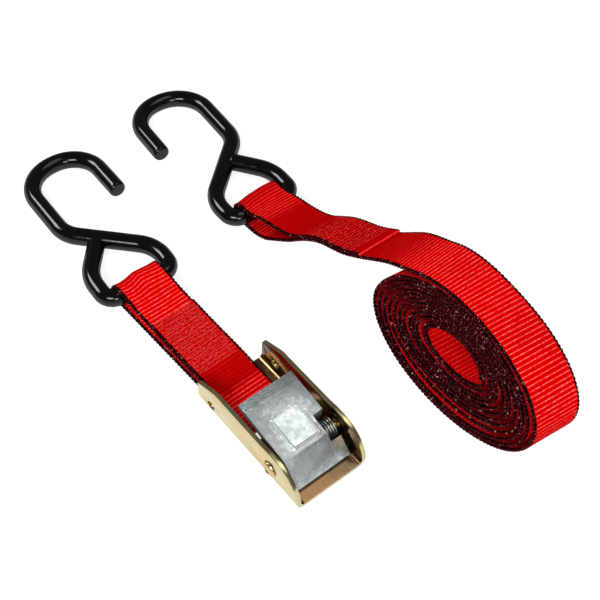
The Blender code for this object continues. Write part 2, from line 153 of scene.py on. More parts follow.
def webbing_material():
    """Ribbed red weave between black selvedges.

    The web map holds mm across and along, over 100. The edge map holds how far through the thickness
    a point lies (-1 to 1), and how much light is painted on there: painted rib highlights where it is high,
    painted shade (a darker red) where it is low.
    """
    s = Shader("red_webbing", roughness=0.6)
    across, along = s.uv("web")
    depth, painted_light = s.uv("edge")
    across = s.math("MULTIPLY", across, 100.0)
    along = s.math("MULTIPLY", along, 100.0)
    rib = s.math("MULTIPLY_ADD", s.math("COSINE", s.math("MULTIPLY", along, 2 * math.pi / RIB)), 0.5, 0.5)
    yarn_turn = s.math("MULTIPLY", across, 2 * math.pi / 0.8)
    half_step = s.math("MULTIPLY", s.math("FLOOR", s.math("DIVIDE", along, RIB / 2)), math.pi)
    yarn = s.math("MULTIPLY_ADD", s.math("SINE", s.math("ADD", yarn_turn, half_step)), 0.5, 0.5)
    cloud = s.noise(45.0, 2.0)
    grain = s.noise(1700.0, 2.0, 0.6)
    coarse = s.noise(420.0, 2.0, 0.6)
    # Painted shade: the red is darker in the valleys between the ribs than on their crests.
    red = s.mix(s.ramp(rib, 0.0, 0.55), (0.62, 0.0004, 0.0008), (0.78, 0.0008, 0.0012))
    # Painted shade: where the painted light value is low the red turns darker.
    red = s.mix(s.ramp(painted_light, 0.0, 0.8), (0.43, 0.0003, 0.0006), red)
    red = s.mix(s.ramp(cloud, 0.35, 0.7, 0.0, 0.25), red, (0.44, 0.0002, 0.0004))
    red = s.mix(s.math("MULTIPLY", yarn, 0.16), red, (0.40, 0.0, 0.0004))
    # Painted highlights: pale pink lines on the rib crests, strongest where the painted light value is high;
    # the same mask also sets the specular level.
    line = s.math("MULTIPLY", s.ramp(rib, 0.90, 0.985), s.math("MULTIPLY", painted_light, s.ramp(grain, 0.36, 0.60)))
    line = s.math("MULTIPLY", line, s.ramp(coarse, 0.30, 0.62, 0.35, 1.0))
    red = s.mix(s.math("MULTIPLY", line, 0.95), red, (1.0, 0.30, 0.27))
    wobble = s.math("MULTIPLY_ADD", rib, -0.35, s.math("MULTIPLY_ADD", coarse, 0.9, 11.0))
    selvedge = s.ramp(s.math("SUBTRACT", s.math("ABSOLUTE", across), wobble), 0.0, 0.22)
    fleck = s.math("MULTIPLY", s.ramp(rib, 0.25, 0.95), s.math("MULTIPLY", s.ramp(grain, 0.46, 0.62),
                                                              s.ramp(coarse, 0.40, 0.60, 0.25, 1.0)))
    black = s.mix(s.math("MULTIPLY", fleck, 0.5), (0.0022, 0.0012, 0.0014), (0.20, 0.006, 0.016))
    core = s.ramp(s.math("ABSOLUTE", depth), 0.25, 0.70, 1.0, 0.0)
    on_side = s.ramp(s.math("ABSOLUTE", across), 12.45, 12.62)
    core = s.math("MULTIPLY", s.math("MULTIPLY", core, on_side), s.ramp(grain, 0.40, 0.62, 0.10, 1.0))
    black = s.mix(core, black, (0.085, 0.002, 0.007))
    spark = s.math("MULTIPLY", s.ramp(s.noise(1300.0, 1.0, 0.5), 0.655, 0.69), s.ramp(coarse, 0.48, 0.60))
    black = s.mix(s.math("MULTIPLY", spark, 0.75), black, (0.62, 0.34, 0.30))
    s.colour(s.mix(selvedge, red, black))
    s.put(s.bsdf.inputs["Specular IOR Level"], s.math("MULTIPLY", line, 0.5))
    height = s.math("ADD", s.math("MULTIPLY", rib, 0.9), s.math("MULTIPLY", yarn, 0.25))
    height = s.math("ADD", height, s.math("MULTIPLY", grain, 0.35))
    s.bump(height, 0.8, 0.00018)
    return s.mat


def thread_material():
    s = Shader("red_thread", roughness=0.55, Specular_IOR_Level=0.15)
    grain = s.noise(2400.0, 2.0)
    # Painted highlights: pale pink flecks on the dark red thread.
    s.colour(s.mix(s.ramp(grain, 0.46, 0.66), (0.50, 0.0012, 0.002), (0.95, 0.13, 0.11)))
    s.bump(grain, 0.5, 0.0001)
    return s.mat


def seal_material():
    # Painted light: the bead is a brighter, glossier red than the webbing, standing in for the lit end face
    # of the folded-back layer.
    s = Shader("seal_painted_lit_red", (0.95, 0.006, 0.008), 0.35, Specular_IOR_Level=0.3)
    lump = s.noise(900.0, 2.0)
    s.colour(s.mix(s.ramp(lump, 0.4, 0.65), (0.80, 0.002, 0.003), (1.0, 0.03, 0.03)))
    s.bump(lump, 0.5, 0.0002)
    return s.mat


def vinyl_material():
    """Dipped black vinyl. Its gloss is faded out towards the outline, where it would mirror the floor."""
    s = Shader("black_vinyl", (0.003, 0.003, 0.003), 0.2)
    facing = s.tree.nodes.new("ShaderNodeLayerWeight").outputs["Facing"]
    s.put(s.bsdf.inputs["Specular IOR Level"], s.ramp(facing, 0.35, 0.85, 0.30, 0.0))
    cloud = s.noise(160.0, 2.0)
    s.colour(s.mix(s.ramp(cloud, 0.3, 0.7), (0.0004, 0.0004, 0.0004), (0.0014, 0.0014, 0.0010)))
    s.rough(s.ramp(s.noise(300.0, 2.0), 0.3, 0.75, 0.09, 0.16))
    s.bump(cloud, 0.10, 0.0003)
    return s.mat


def zinc_material(name, gold, warm, copper, olive):
    """Zinc plating: gold that drifts to a warmer gold, copper and olive, with fine rolling lines."""
    s = Shader(name, roughness=0.3, metallic=1.0)
    drift = s.noise(38.0, 2.0)
    lines = s.noise(900.0, 2.0, 0.6, (0.12, 1.0, 1.0))
    colour = s.mix(s.ramp(drift, 0.35, 0.62), gold, warm)
    colour = s.mix(s.ramp(s.noise(95.0, 2.0), 0.56, 0.76, 0.0, 0.6), colour, copper)
    colour = s.mix(s.ramp(s.noise(70.0, 1.0), 0.60, 0.75, 0.0, 0.55), colour, olive)
    s.colour(colour)
    s.rough(s.ramp(lines, 0.25, 0.8, 0.16, 0.30))
    s.bump(lines, 0.25, 0.00008)
    return s.mat


def diecast_material(name, dark, light):
    """Grey tumbled die casting: mottled, a little pitted."""
    s = Shader(name, roughness=0.38, metallic=0.85)
    mottle = s.noise(330.0, 4.0, 0.6)
    grain = s.noise(1500.0, 3.0, 0.6)
    grey = s.mix(s.ramp(mottle, 0.35, 0.68), dark, light)
    s.colour(s.mix(s.ramp(grain, 0.60, 0.78, 0.0, 0.7), grey, (0.92, 0.97, 0.97)))
    s.rough(s.ramp(mottle, 0.3, 0.7, 0.40, 0.26))
    s.bump(s.math("ADD", grain, s.math("MULTIPLY", mottle, 1.5)), 0.5, 0.00022)
    return s.mat


def steel_material(name, colour, roughness):
    s = Shader(name, colour, roughness, 1.0)
    lines = s.noise(700.0, 3.0)
    s.colour(s.mix(s.ramp(lines, 0.3, 0.7), tuple(0.7 * c for c in colour), colour))
    s.rough(s.ramp(lines, 0.3, 0.7, roughness, roughness + 0.15))
    s.bump(lines, 0.2, 0.00005)
    return s.mat


# ---- mesh helpers -----------------------------------------------------------------------------
def link_mesh(name, mesh, mat):
    obj = bpy.data.objects.new(name, mesh)
    bpy.context.scene.collection.objects.link(obj)
    mesh.materials.clear()
    if mat is not None:
        mesh.materials.append(mat)
    return obj


def grid_mesh(name, rows, mat):
    """Closed smooth mesh through rings of points (n, k, 3) in mm, with a face over each end."""
    count, ring = rows.shape[:2]
    faces = []
    for i in range(count - 1):
        a, b = i * ring, (i + 1) * ring
        for j in range(ring):
            k = (j + 1) % ring
            faces.append((a + j, a + k, b + k, b + j))
    faces.append(tuple(reversed(range(ring))))
    faces.append(tuple((count - 1) * ring + j for j in range(ring)))
    mesh = bpy.data.meshes.new(name)
    mesh.from_pydata((rows.reshape(-1, 3) * MM).tolist(), [], faces)
    bm = bmesh.new()
    bm.from_mesh(mesh)
    bmesh.ops.recalc_face_normals(bm, faces=bm.faces)
    if bm.calc_volume(signed=True) < 0:
        bmesh.ops.reverse_faces(bm, faces=bm.faces)
    bm.to_mesh(mesh)
    bm.free()
    mesh.shade_smooth()
    return link_mesh(name, mesh, mat)


def smooth_line(points, per_span=12):
    """Catmull-Rom line through points of any dimension."""
    pts = np.asarray(points, float)
    pts = np.vstack([2 * pts[0] - pts[1], pts, 2 * pts[-1] - pts[-2]])
    out = []
    for a, b, c, d in zip(pts, pts[1:], pts[2:], pts[3:]):
        for t in np.arange(per_span) / per_span:
            out.append(0.5 * (2 * b + (c - a) * t + (2 * a - 5 * b + 4 * c - d) * t ** 2
                              + (3 * b - a - 3 * c + d) * t ** 3))
    out.append(pts[-2])
    return np.array(out)


def tube_rows(path, radius, sides, binormal=None):
    """Rings round a path; a planar path gives its plane's normal as the binormal."""
    path = np.asarray(path, float)
    tangent = np.gradient(path, axis=0)
    tangent /= np.linalg.norm(tangent, axis=1)[:, None]
    if binormal is None:
        up = np.zeros_like(path)
        side = np.cross(tangent[0], [0.0, 0.0, 1.0])
        if np.linalg.norm(side) < 1e-6:
            side = np.array([1.0, 0.0, 0.0])
        for i, t in enumerate(tangent):
            side = side - t * (side @ t)
            side /= np.linalg.norm(side)
            up[i] = np.cross(t, side)
    else:
        up = np.tile(np.asarray(binormal, float), (len(path), 1))
    across = np.cross(up, tangent)
    angle = 2 * np.pi * np.arange(sides) / sides
    radius = np.broadcast_to(radius, len(path))[:, None, None]
    return path[:, None] + radius * (np.cos(angle)[None, :, None] * across[:, None]
                                     + np.sin(angle)[None, :, None] * up[:, None])


def fillet(points, per_turn=72):
    """Line through (x, y, radius) corners; a radius of 0 keeps the corner sharp."""
    out = []
    for i, (x, y, radius) in enumerate(points):
        corner = Vector((x, y))
        if radius == 0.0:
            out.append(corner)
            continue
        before = (Vector(points[i - 1][:2]) - corner).normalized()
        after = (Vector(points[(i + 1) % len(points)][:2]) - corner).normalized()
        half = before.angle(after) / 2
        middle = corner + (before + after).normalized() * (radius / math.sin(half))
        start = corner + before * (radius / math.tan(half)) - middle
        sweep = start.angle_signed(corner + after * (radius / math.tan(half)) - middle)
        steps = max(2, round(abs(sweep) / (2 * math.pi) * per_turn))
        first = math.atan2(start.y, start.x)
        for k in range(steps + 1):
            a = first - sweep * k / steps
            out.append(middle + radius * Vector((math.cos(a), math.sin(a))))
    return out


def prism(name, outline, lo, hi, plane):
    """Solid with a flat outline, in the xz or yz plane, from lo to hi across it."""
    place = {"xz": lambda a, b, c: (a, c, b), "yz": lambda a, b, c: (c, a, b)}[plane]
    bm = bmesh.new()
    low = [bm.verts.new(place(a, b, lo)) for a, b in outline]
    high = [bm.verts.new(place(a, b, hi)) for a, b in outline]
    count = len(outline)
    bm.faces.new(low)
    bm.faces.new(list(reversed(high)))
    for i in range(count):
        k = (i + 1) % count
        bm.faces.new((low[i], low[k], high[k], high[i]))
    bmesh.ops.recalc_face_normals(bm, faces=bm.faces)
    mesh = bpy.data.meshes.new(name)
    bm.to_mesh(mesh)
    bm.free()
    return link_mesh(name, mesh, None)


def cylinder_y(name, x, z, radius, lo, hi, sides=64):
    angle = 2 * np.pi * np.arange(sides) / sides
    outline = [(x + radius * math.cos(a), z + radius * math.sin(a)) for a in angle]
    return prism(name, outline, lo, hi, "xz")


def block(name, lo, hi):
    outline = [(lo[0], lo[2]), (hi[0], lo[2]), (hi[0], hi[2]), (lo[0], hi[2])]
    return prism(name, outline, lo[1], hi[1], "xz")


def apply_modifiers(obj):
    bpy.context.view_layer.update()
    mesh = bpy.data.meshes.new_from_object(obj.evaluated_get(bpy.context.evaluated_depsgraph_get()))
    obj.modifiers.clear()
    obj.data = mesh


def combine(obj, tool, operation):
    """Cut the tool out of the piece, or keep what they share. The tool is used up."""
    mod = obj.modifiers.new(tool.name, "BOOLEAN")
    mod.operation, mod.object, mod.solver = operation, tool, "EXACT"
    apply_modifiers(obj)
    bpy.data.objects.remove(tool, do_unlink=True)


def finish_solid(obj, matrix, mat, bevel, limit=30.0):
    """Bevel the edges, move from mm in the piece's own frame to metres in the row's, shade."""
    bm = bmesh.new()
    bm.from_mesh(obj.data)
    bmesh.ops.remove_doubles(bm, verts=bm.verts, dist=1e-4)
    bmesh.ops.dissolve_limit(bm, angle_limit=math.radians(1.0), verts=bm.verts, edges=bm.edges)
    bm.to_mesh(obj.data)
    bm.free()
    mod = obj.modifiers.new("edges", "BEVEL")
    mod.width, mod.segments, mod.limit_method = bevel, 2, "ANGLE"
    mod.angle_limit = math.radians(limit)
    mod.harden_normals = False
    apply_modifiers(obj)
    obj.data.transform(matrix @ Matrix.Scale(MM, 4))
    obj.data.shade_smooth()
    obj.data.set_sharp_from_angle(angle=math.radians(SHARP_ANGLE))
    obj.data.materials.clear()
    obj.data.materials.append(mat)


# ---- webbing ----------------------------------------------------------------------------------
# Section of the webbing: mm in from an edge with the share of the half thickness there, and mm across a face.
SECTION_EDGE = [(0.0, 0.0), (0.06, 0.5), (0.28, 0.88)]
SECTION_FACE = [1.0, 1.9, 4.5, 8.0, 12.7, 17.4, 20.9, 23.5, 24.4]


def section():
    """Closed outline of the webbing, as (mm across, share of the half thickness)."""
    near_top = SECTION_EDGE + [(a, 1.0) for a in SECTION_FACE]
    far = [(WIDTH - a, h) for a, h in reversed(SECTION_EDGE)]
    far += [(WIDTH - a, -h) for a, h in SECTION_EDGE[1:]]
    bottom = [(a, -1.0) for a in reversed(SECTION_FACE)]
    bottom += [(a, -h) for a, h in reversed(SECTION_EDGE[1:])]
    return np.array(near_top + far + bottom)


def resample(line, spacing):
    """Points of a line (n, m) where spacing(s) asks for them, and how far along each lies (s, mm)."""
    step = np.linalg.norm(np.diff(line[:, :3], axis=0), axis=1)
    along = np.concatenate([[0.0], np.cumsum(step)])
    places, s = [], 0.0
    while s < along[-1]:
        places.append(s)
        s += spacing(s)
    places.append(along[-1])
    places = np.array(places)
    return np.stack([np.interp(places, along, line[:, i]) for i in range(line.shape[1])], axis=1), places


def ribbon(name, line, spacing, mat, warp, painted_light):
    """Webbing along a line of (near edge xyz, across xyz), given in mm. Returns the piece and its length.

    warp(rows, s, across) moves its points, and the last argument gives, per row, how much light is painted on
    the webbing: painted rib highlights where high, painted shade (a darker red) where low.
    """
    line = np.array(line, float)
    middle = line[:, :3] + 0.5 * WIDTH * line[:, 3:6]
    pts, s = resample(np.hstack([middle, line[:, 3:6]]), spacing)
    across = pts[:, 3:6] / np.linalg.norm(pts[:, 3:6], axis=1)[:, None]
    near = pts[:, :3] - 0.5 * WIDTH * across
    tangent = np.gradient(pts[:, :3], axis=0)
    tangent /= np.linalg.norm(tangent, axis=1)[:, None]
    normal = np.cross(across, tangent)
    normal /= np.linalg.norm(normal, axis=1)[:, None]
    sec = section()
    wave = np.cos(2 * np.pi * s / RIB)
    thick = HALF_THICK * (1.0 + 0.10 * wave)
    at_edge = (np.abs(sec[:, 0] - WIDTH / 2) > WIDTH / 2 - 0.5) * np.sign(sec[:, 0] - WIDTH / 2)
    scallop = 0.16 * wave[:, None] * at_edge[None, :]
    rows = (near[:, None] + across[:, None] * (sec[None, :, :1] + scallop[:, :, None])
            + normal[:, None] * (thick[:, None, None] * sec[None, :, 1:]))
    rows = rows + warp(rows, s, sec[:, 0])
    obj = grid_mesh(name, rows, mat)
    mesh = obj.data
    web = mesh.uv_layers.new(name="web")
    edge = mesh.uv_layers.new(name="edge")
    index = np.empty(len(mesh.loops), int)
    mesh.loops.foreach_get("vertex_index", index)
    row, col = index // len(sec), index % len(sec)
    flat = np.stack([(sec[col, 0] - WIDTH / 2) / 100.0, s[row] / 100.0], axis=1)
    web.data.foreach_set("uv", flat.astype(np.float32).ravel())
    side = np.stack([sec[col, 1], painted_light(pts, s)[row]], axis=1)
    edge.data.foreach_set("uv", side.astype(np.float32).ravel())
    return obj, float(s[-1])


def arc(centre, half, start, end, steps=18):
    a = np.radians(np.linspace(start, end, steps))
    return np.stack([centre[0] + half[0] * np.cos(a), centre[1] + half[1] * np.sin(a)], axis=1)


def bell(x, middle, width):
    return np.exp(-((x - middle) / width) ** 2)


# ---- short strap ------------------------------------------------------------------------------
SHORT_Y, SHORT_HEADING = -56.0, math.radians(1.0)
SHORT_INNER = [(-44.5, 10.9), (-38.0, 9.5), (-25.5, 8.2), (-12.0, 7.1), (0.0, 6.75), (11.0, 6.7)]
SHORT_OUTER = [(-25.5, 9.75), (-12.0, 8.68), (0.0, 8.33), (10.0, 8.1), (18.0, 7.4), (30.0, 6.3),
               (43.0, 5.55)]
SHORT_HOOK_X = -51.5               # middle of the loop round hook A
# Painted light along the short strap by x: painted rib highlights where high; near zero on the slope up to
# the buckle, which the webbing paints as a darker red shade.
SHORT_PAINTED_LIGHT_X = (-56, -50, -27, -23, 9, 13, 24, 28, 45)
SHORT_PAINTED_LIGHT = (0.2, 0.75, 0.85, 0.35, 0.35, 0.04, 0.04, 0.85, 0.7)
SEWN_A = (-24.0, 11.5)
SEWN_HALF = 9.3                    # half width of a sewn block


def short_profile():
    """Side view from the inner sewn end, round the hook, below, up through the slot and back over it."""
    line = list(reversed(SHORT_INNER))
    line += arc((SHORT_HOOK_X, 6.3), (6.45, 5.3), 92, 268).tolist()
    line += [(-40.0, 1.0), (-10.0, 1.0), (20.0, 1.0), (38.0, 1.05), (44.5, 1.1)]
    line += arc((46.2, 3.3), (1.0, 2.15), -70, 78, 7).tolist()
    line += list(reversed(SHORT_OUTER))
    return smooth_line(line, 6)


def short_place(x, z, y):
    """Point of the short strap in the row's frame from its own side view and its place across."""
    c, s = math.cos(SHORT_HEADING), math.sin(SHORT_HEADING)
    return np.array([x * c - y * s, SHORT_Y + x * s + y * c, z]) + SHIFT


def make_short_strap(mat, thread):
    c, s = math.cos(SHORT_HEADING), math.sin(SHORT_HEADING)
    line = [(*short_place(x, z, -WIDTH / 2), -s, c, 0.0) for x, z in short_profile()]

    def warp(rows, along, across):
        in_fold = bell(rows[..., 0], SHORT_HOOK_X + SHIFT[0], 9.0) * (rows[..., 0] < -40 + SHIFT[0])
        wave = -1.5 * bell(across, 14.0, 4.2) + 1.0 * bell(across, 5.5, 3.6)
        out = np.zeros_like(rows)
        out[..., 0] = in_fold * wave[None, :]
        sag = bell(rows[..., 0], -33 + SHIFT[0], 9.0) * (rows[..., 2] > 5.0)
        out[..., 2] = sag * (-0.5 * bell(across, 12.7, 7.0))[None, :]
        return out

    # Painted light per row, from the table of painted light above.
    def painted_light(points, along):
        return np.interp(points[:, 0] - SHIFT[0], SHORT_PAINTED_LIGHT_X, SHORT_PAINTED_LIGHT)

    strap, length = ribbon("short_strap", line, lambda s: RIB / FINE, mat, warp, painted_light)
    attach(strap, "buckle")
    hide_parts("short_webbing")
    stitches = stitch_rows("short_strap_stitches", SEWN_A,
                           lambda x: np.interp(x, *zip(*SHORT_OUTER)) + 0.74, short_place, thread)
    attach(stitches, "buckle")
    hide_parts("short_stitching")


def stitch_rows(name, span, height, place, mat, rows=7, pitch=1.3, radius=0.16):
    """Bar-tack rows: thread legs across the webbing, stepping along it, sunk halfway in. One piece."""
    parts = []
    reach = SEWN_HALF / (rows - 1)
    for number in range(rows):
        middle = reach * (2 * number - rows + 1)
        count = int((span[1] - span[0]) / pitch)
        points = []
        for k in range(count):
            x = span[0] + pitch * k + 0.22 * math.sin(5.1 * number) + 0.12 * math.sin(3.3 * k + number)
            side = 1.0 if k % 2 else -1.0
            for share, lift in ((-1.0, 0.0), (-0.8, 0.14), (0.0, 0.2), (0.8, 0.14), (1.0, 0.0)):
                at = x + 0.22 * share
                points.append(place(at, height(at) + lift, middle + side * share * 0.92 * reach))
        parts.append(grid_mesh(f"{name}_{number}", tube_rows(np.array(points), radius, 6), mat))
    bm = bmesh.new()
    for part in parts:
        bm.from_mesh(part.data)
        bpy.data.objects.remove(part, do_unlink=True)
    mesh = bpy.data.meshes.new(name)
    bm.to_mesh(mesh)
    bm.free()
    return link_mesh(name, mesh, mat)


# ---- long strap -------------------------------------------------------------------------------
ROLL_PLACE = (1.5, 14.4, 2.27)
ROLL_HEADING, ROLL_LEAN, ROLL_TILT = math.radians(-4.2), math.radians(5.0), math.radians(3.0)
ROLL_OUTER = (88.0, 34.1, 52.6, 34.0)
ROLL_HOLE = (90.4, 41.0, 15.6, 7.0)
# The inner turns swing towards the near side, the more the further they are from the right end.
ROLL_RIGHT, ROLL_SWING = 140.0, 0.047
TURNS = 12.35
JOIN = 128.0                       # angle round the roll at which the lead leaves it, in degrees
ROLL_MATRIX = (Matrix.Translation((ROLL_PLACE[0] + SHIFT[0], ROLL_PLACE[1] + SHIFT[1], ROLL_PLACE[2]))
               @ Matrix.Rotation(ROLL_HEADING, 4, "Z") @ Matrix.Rotation(-ROLL_LEAN, 4, "X"))
# The lead in side view (x, z): its lower layer from the roll to hook B, and the layer folded back over it.
LEAD_LOWER = [(41.0, 53.4), (25.0, 43.2), (13.6, 36.9), (-1.2, 32.1), (-11.8, 25.2), (-22.4, 15.8),
              (-33.4, 7.6), (-40.5, 2.9), (-47.0, 1.15), (-53.0, 1.0)]
LEAD_UPPER = [(-52.0, 12.0), (-43.4, 14.9), (-33.8, 16.8), (-24.2, 19.2), (-17.5, 22.8), (-12.9, 26.5),
              (-1.9, 33.7), (13.2, 38.6), (24.2, 44.4)]
DROP_X = (-52.0, -36.0, -24.0, -10.0, 0.0, 12.0, 25.0, 41.0)
DROP = (0.5, 2.0, 2.2, 3.2, 2.8, 1.8, 0.9, -1.5)   # how far the lead's far edge hangs below its near one
LEAD_Y, LEAD_DRIFT = 21.2, 0.075   # middle of the lead at hook B, and its sideways drift per mm of x
# Places along the strap, in mm back from its hook end.
LEAD_LENGTH = 200.0                # the sewn loop and the lead
OUTER_FROM, OUTER_TO = 205.0, 420.0   # the outermost turn of the roll, as far as it is seen
FINE_LENGTH = 545.0                # the part that is meshed finely
SEWN_B = (-13.0, 21.5)


def layer_share(turn, angle):
    """How far out a layer lies (1 outside, 0 at the hole) after some turns inward, at an angle round."""
    layers = np.arange(int(TURNS) + 2)
    weights = 1.0 + 0.55 * np.sin(2.1 * layers + 1.3 * math.sin(angle)) + 0.35 * np.sin(3.7 * layers + 2.0)
    low = max(0.0, -math.sin(angle)) ** 2
    left = max(0.0, -math.cos(angle)) ** 2
    weights = weights + 2.6 * low * (layers == 3) + 0.7 * left * (layers == 2) + 0.5 * left * (layers == 5)
    tight = 1.0 - 0.93 * max(0.0, math.sin(angle)) ** 1.5
    spacing = 1.0 + 0.62 * tight * (weights / weights.mean() - 1.0)
    gone = np.concatenate([[0.0], np.cumsum(spacing)])
    return 1.0 - np.interp(turn, np.arange(len(gone)), gone) / np.interp(TURNS, np.arange(len(gone)), gone)


def roll_point(share, angle):
    """(U, V) in the roll's plane of a layer's middle."""
    outer = np.array(ROLL_OUTER) - (0, 0, HALF_THICK + 0.1, HALF_THICK + 0.1)   # centre u, v, half axes
    hole = np.array(ROLL_HOLE) + (0, 0, HALF_THICK, HALF_THICK)
    u0, v0, a, b = hole + (outer - hole) * share
    x, y = a * math.cos(angle), b * math.sin(angle)
    return (u0 + x * math.cos(ROLL_TILT) - y * math.sin(ROLL_TILT),
            v0 + x * math.sin(ROLL_TILT) + y * math.cos(ROLL_TILT))


def make_long_strap(mat, thread, seal_mat):
    roll_across = np.array((ROLL_MATRIX.to_3x3() @ Vector((0, 1, 0)))[:])
    spiral = []
    steps = int(TURNS * 72)
    for k in range(steps + 1):
        turned = TURNS * k / steps
        angle = math.radians(JOIN) - 2 * math.pi * turned
        u, v = roll_point(layer_share(turned, angle), angle)
        v += 0.8 * math.exp(-((turned * 360.0 - 18.0) / 24.0) ** 2)
        drift = 0.30 * math.sin(1.9 * turned + 0.6) + 0.22 * math.sin(4.3 * turned)
        drift += 0.3 * math.exp(-((turned - 0.3) / 0.6) ** 2) - 0.3 * math.exp(-((turned - 3.6) / 0.5) ** 2)
        if turned < 0.15:
            drift *= turned / 0.15
        swing = min(1.0, turned / 0.6)
        swing = swing * swing * (3 - 2 * swing) * (1.0 - 0.9 * max(0.0, math.sin(angle)) ** 1.5)
        drift -= ROLL_SWING * (ROLL_RIGHT - u) * swing
        place = ROLL_MATRIX @ Vector((u, drift, v))
        level = 0.5 + 0.5 * math.cos(math.pi * min(1.0, turned / 0.16))
        spiral.append((*place, *(roll_across * (1 - level) + np.array((0.0, 0.998, 0.050)) * level)))

    def lead_row(x, z, drop):
        y = LEAD_Y - WIDTH / 2 + LEAD_DRIFT * max(0.0, x + 50.0)
        dip = min(drop, max(0.0, (z - 1.0))) / WIDTH
        return (x + SHIFT[0], y + SHIFT[1], z, 0.0, math.sqrt(1 - dip * dip), -dip)

    rows = []
    for x, z in LEAD_LOWER:
        rows.append(lead_row(x, z, float(np.interp(x, DROP_X, DROP))))
    for x, z in arc((-58.3, 6.4), (6.5, 5.4), 262, 98):
        rows.append(lead_row(x, z, 0.3))
    for x, z in LEAD_UPPER:
        rows.append(lead_row(x, z, float(np.interp(x, DROP_X, DROP))))
    inward = list(reversed(spiral))
    line = np.vstack([np.array(inward), smooth_line([inward[-1]] + rows, 10)[1:]])
    total = np.linalg.norm(np.diff(line[:, :3], axis=0), axis=1).sum()
    fine_from = total - FINE_LENGTH

    def spacing(s):
        return RIB / FINE if s > fine_from else RIB / COARSE

    def warp(points, along, across):
        out = np.zeros_like(points)
        fold = bell(points[..., 0], -61.0 + SHIFT[0], 8.0) * (points[..., 0] < -46 + SHIFT[0])
        fold = fold * (along > fine_from)[:, None]
        wave = 1.6 * bell(across, 2.0, 4.5) - 0.5 * bell(across, 18.0, 5.0)
        out[..., 0] = fold * wave[None, :]
        return out

    # Painted light per row: strong painted rib highlights on the roll's outer turn where the light falls on
    # it, some on the hook loop, almost none on the lead, a middle value inside the roll; the lower the value,
    # the darker the painted red shade.
    def painted_light(points, along):
        from_end = total - along
        x = points[:, 0] - SHIFT[0]
        lead = np.interp(x, (-60, -54, -42, -36, 20, 24, 40), (0.2, 0.4, 0.45, 0.03, 0.02, 0.02, 0.02))
        outer = np.interp(from_end - OUTER_FROM, (0.0, 18.0, 40.0, 120.0, 150.0, 190.0),
                          (0.02, 0.10, 0.75, 1.0, 0.10, 0.02))
        return np.where(from_end < LEAD_LENGTH, lead, np.where(from_end < OUTER_TO, outer, 0.30))

    strap, length = ribbon("long_strap", line, spacing, mat, warp, painted_light)
    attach(strap, "long_strap")
    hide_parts("long_webbing_lead", "webbing_roll")

    def place(x, z, y):
        row = lead_row(x, z, float(np.interp(x, DROP_X, DROP)))
        return np.array(row[:3]) + np.array(row[3:]) * (y + WIDTH / 2)

    dense = smooth_line(LEAD_UPPER, 10)
    stitches = stitch_rows("long_strap_stitches", SEWN_B,
                           lambda x: float(np.interp(x, dense[:, 0], dense[:, 1])) + 0.72, place, thread,
                           rows=5, pitch=2.1, radius=0.13)
    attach(stitches, "long_strap")
    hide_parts("long_stitching")
    end_x, end_z = LEAD_UPPER[-1]
    # Bright red bead along the end of the folded-back layer: painted light for its lit end face.
    bead = np.array([place(end_x + 0.15, end_z + 0.1, y) for y in np.linspace(-12.2, 12.2, 40)])
    lumps = 0.55 + 0.08 * np.sin(np.arange(40) * 1.9)
    seal = grid_mesh("fold_back_seal", tube_rows(bead, lumps, 10), seal_mat)
    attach(seal, "long_strap")


# ---- hooks ------------------------------------------------------------------------------------
COAT_R = 4.45
EYE_REACH = 1.1                    # the vinyl joins the eye's end to the shank
HOOK_TIP, HOOK_END = (-63.6, 23.5), (-34.9, -5.4)
HOOK_CORNERS = [(-98.8, 23.5, 17.2), (-98.8, -14.1, 18.8), (-50.9, -14.1, 16.4), (-17.6, 18.7, 19.0),
                (0.0, 17.4, 6.2), (0.0, -18.5, 6.2), (-19.1, -18.2, 22.0)]
BAR_Z = 6.25
HOOK_TILT = math.asin((BAR_Z - COAT_R - 0.02) / 98.8)


def make_hook(label, node, body, place, heading, side, mat):
    """Vinyl coat of an S-hook, rounded at both ends. side is -1 for the mirrored hook."""
    corners = [(x, y * side, r) for x, y, r in HOOK_CORNERS]
    points = fillet([(HOOK_TIP[0], HOOK_TIP[1] * side, 0.0)] + corners
                    + [(HOOK_END[0], HOOK_END[1] * side, 0.0)], 90)
    path = np.array([(p.x, p.y, 0.0) for p in points])
    line, _ = resample(path, lambda _: 1.0)
    first, last = line[0] - line[1], line[-1] - line[-2]
    first, last = first / np.linalg.norm(first), last / np.linalg.norm(last)
    cap = [(0.0, 0.0), (0.7, 0.10), (1.25, 0.35), (1.6, 0.75), (1.72, 1.6), (1.80, 3.0)]
    start = [(line[0] + first * lift, COAT_R - inset) for lift, inset in reversed(cap)]
    end = [(line[-1] + last * (lift + EYE_REACH), COAT_R - inset) for lift, inset in cap]
    rings = start + [(p, COAT_R) for p in line[1:]] + end
    centres, radii = np.array([p for p, _ in rings]), np.array([r for _, r in rings])
    rows = tube_rows(centres, radii, 32, (0.0, 0.0, 1.0))
    obj = grid_mesh(f"{label}_vinyl", rows, mat)
    matrix = (Matrix.Translation(((place[0] + SHIFT[0]) * MM, (place[1] + SHIFT[1]) * MM, BAR_Z * MM))
              @ Matrix.Rotation(math.radians(heading), 4, "Z") @ Matrix.Rotation(-HOOK_TILT, 4, "Y"))
    obj.data.transform(matrix)
    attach(obj, body)
    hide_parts(node)


# ---- buckle -----------------------------------------------------------------------------------
BUCKLE_MATRIX = (Matrix.Translation((Vector(BUCKLE) + Vector(SHIFT)) * MM)
                 @ Matrix.Rotation(math.radians(BUCKLE_TILT), 4, "Y"))


